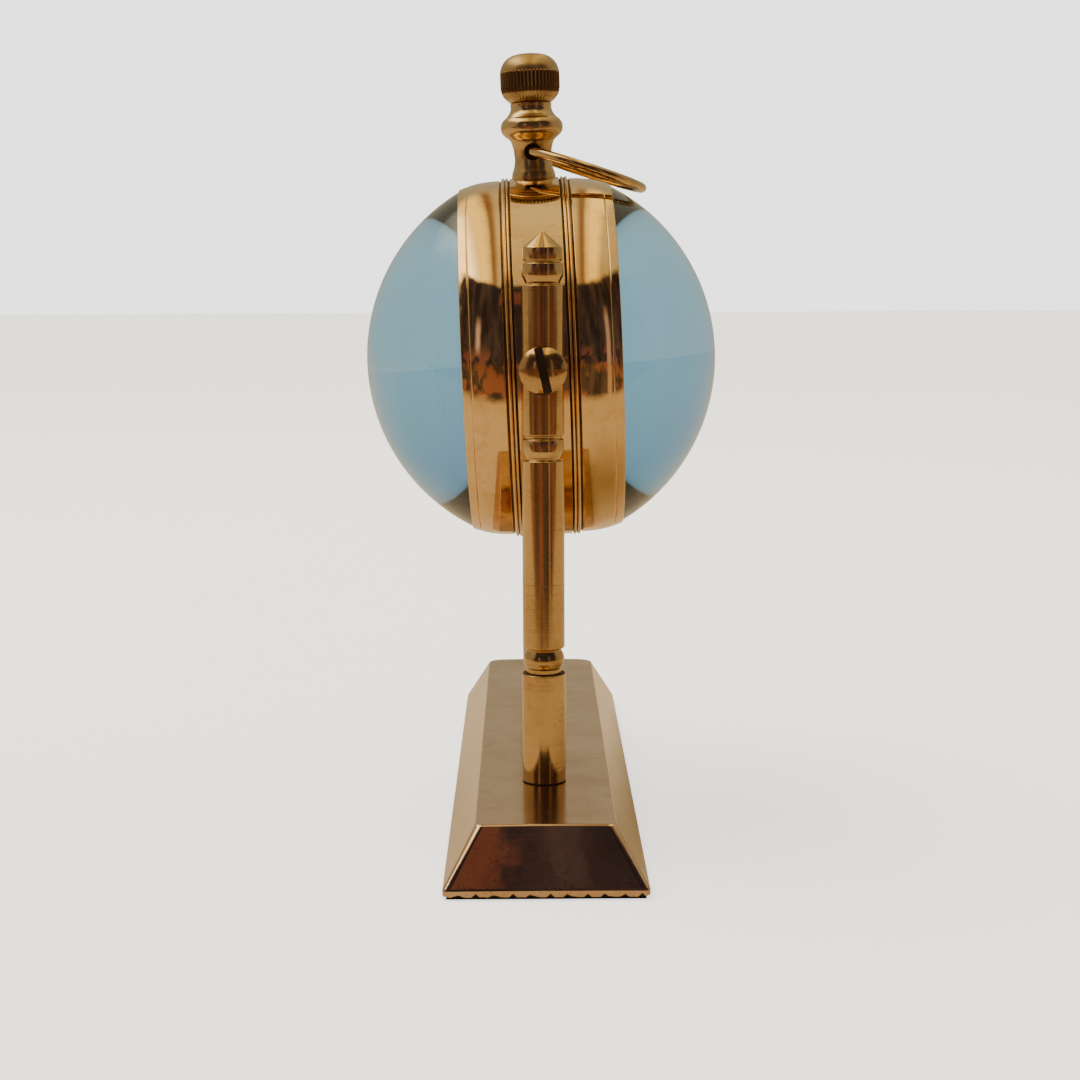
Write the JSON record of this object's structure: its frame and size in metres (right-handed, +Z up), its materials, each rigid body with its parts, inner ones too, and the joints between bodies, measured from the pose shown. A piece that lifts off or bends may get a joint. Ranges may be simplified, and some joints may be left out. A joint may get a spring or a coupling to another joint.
{
  "type": "glass ball desk clock on post stand",
  "caption": "Ball-shaped desk clock of two glass domes in a brass band with crown and bow, hung between turned brass posts on a long bevelled base.",
  "frame": {"origin": "middle of the pad's underside, on the surface the clock stands on", "axes": "+Z up, +X along the base and the pivot axis, the dial faces -Y and the bow lies over the rear, +Y"},
  "size_m": [0.1368, 0.0634, 0.134],
  "materials": {
    "satin_brass": "satin, lightly scratched",
    "turned_brass": "turned, fine lathe rings",
    "polished_brass": "polished",
    "worn_brass": "satin, handled",
    "crown_brass": "matte fluted band, satin top",
    "ring_brass": "satin",
    "wheel_brass": "satin",
    "glass": "clear, pale blue",
    "gasket_rubber": "matte",
    "pad": "matte, rough",
    "steel": "satin",
    "cell_steel": "bright",
    "white_plastic": "matte",
    "cover_plastic": "matte",
    "dial_enamel": "satin enamel",
    "black_paint": "gloss",
    "copper_wire": "enamelled wire",
    "green_board": "matte"
  },
  "bodies": {
    "stand": {"base": "satin_brass", "base_pad": "pad", "left_sleeve": "turned_brass", "right_sleeve": "turned_brass", "left_post": "turned_brass", "right_post": "turned_brass", "left_base_bolt": "steel", "right_base_bolt": "steel", "left_pivot_screw": "turned_brass", "right_pivot_screw": "turned_brass", "left_pivot_washer": "white_plastic", "right_pivot_washer": "white_plastic"},
    "head": {"case_band": "polished_brass", "front_bezel": "polished_brass", "rear_bezel": "polished_brass", "front_glass": "glass", "rear_glass": "glass", "front_gasket": "gasket_rubber", "rear_gasket": "gasket_rubber", "front_ring": "ring_brass", "rear_ring": "ring_brass", "pendant": "worn_brass", "stem_bearing": "wheel_brass", "dial": "dial_enamel", "hour_markers": "black_paint", "rear_plate": "ring_brass", "movement_holder": "white_plastic", "main_plate": "wheel_brass", "movement_cover": "cover_plastic", "movement_screws": "steel", "centre_arbor": "steel", "minute_stud": "steel", "battery": "cell_steel", "battery_clip": "wheel_brass", "coil": "copper_wire", "circuit_board": "green_board", "quartz_can": "cell_steel"},
    "bow": {"bow": "worn_brass"},
    "clutch": {"clutch_sleeve": "steel"},
    "crown": {"crown": "crown_brass", "stem": "steel", "setting_pinion": "wheel_brass"},
    "minute": {"cannon_pinion": "wheel_brass", "minute_hand": "black_paint", "hand_nut": "wheel_brass"},
    "minute_wheel": {"minute_wheel": "wheel_brass"},
    "hour": {"hour_wheel": "wheel_brass", "hour_hand": "black_paint"}
  },
  "joints": [
    {"name": "head_tilt", "type": "hinge", "parent": "stand", "child": "head", "pos_m": [0, 0, 0.0798], "axis": [1, 0, 0], "continuous": true},
    {"name": "bow_swing", "type": "hinge", "parent": "head", "child": "bow", "pos_m": [0, -0.00135, 0.11658], "axis": [1, 0, 0], "range_deg": [0, 220]},
    {"name": "crown_turn", "type": "hinge", "parent": "head", "child": "clutch", "pos_m": [0, -0.00053, 0.09439], "axis": [0, -0.0366, 0.9993], "continuous": true},
    {"name": "crown_pull", "type": "slide", "parent": "clutch", "child": "crown", "axis": [0, -0.0366, 0.9993], "range_m": [0, 0.0012]},
    {"name": "minute_turn", "type": "hinge", "parent": "head", "child": "minute", "pos_m": [0, -0.005, 0.07962], "axis": [0, 0.9993, 0.0366], "continuous": true},
    {"name": "minute_wheel_turn", "type": "hinge", "parent": "head", "child": "minute_wheel", "pos_m": [0, -0.0037, 0.07166], "axis": [0, 0.9993, 0.0366], "continuous": true},
    {"name": "hour_turn", "type": "hinge", "parent": "head", "child": "hour", "pos_m": [0, -0.005, 0.07962], "axis": [0, 0.9993, 0.0366], "continuous": true}
  ],
  "couplings": [
    {"joint": "minute_wheel_turn", "follows": "minute_turn", "ratio": -0.33333},
    {"joint": "hour_turn", "follows": "minute_turn", "ratio": 0.083333}
  ]
}
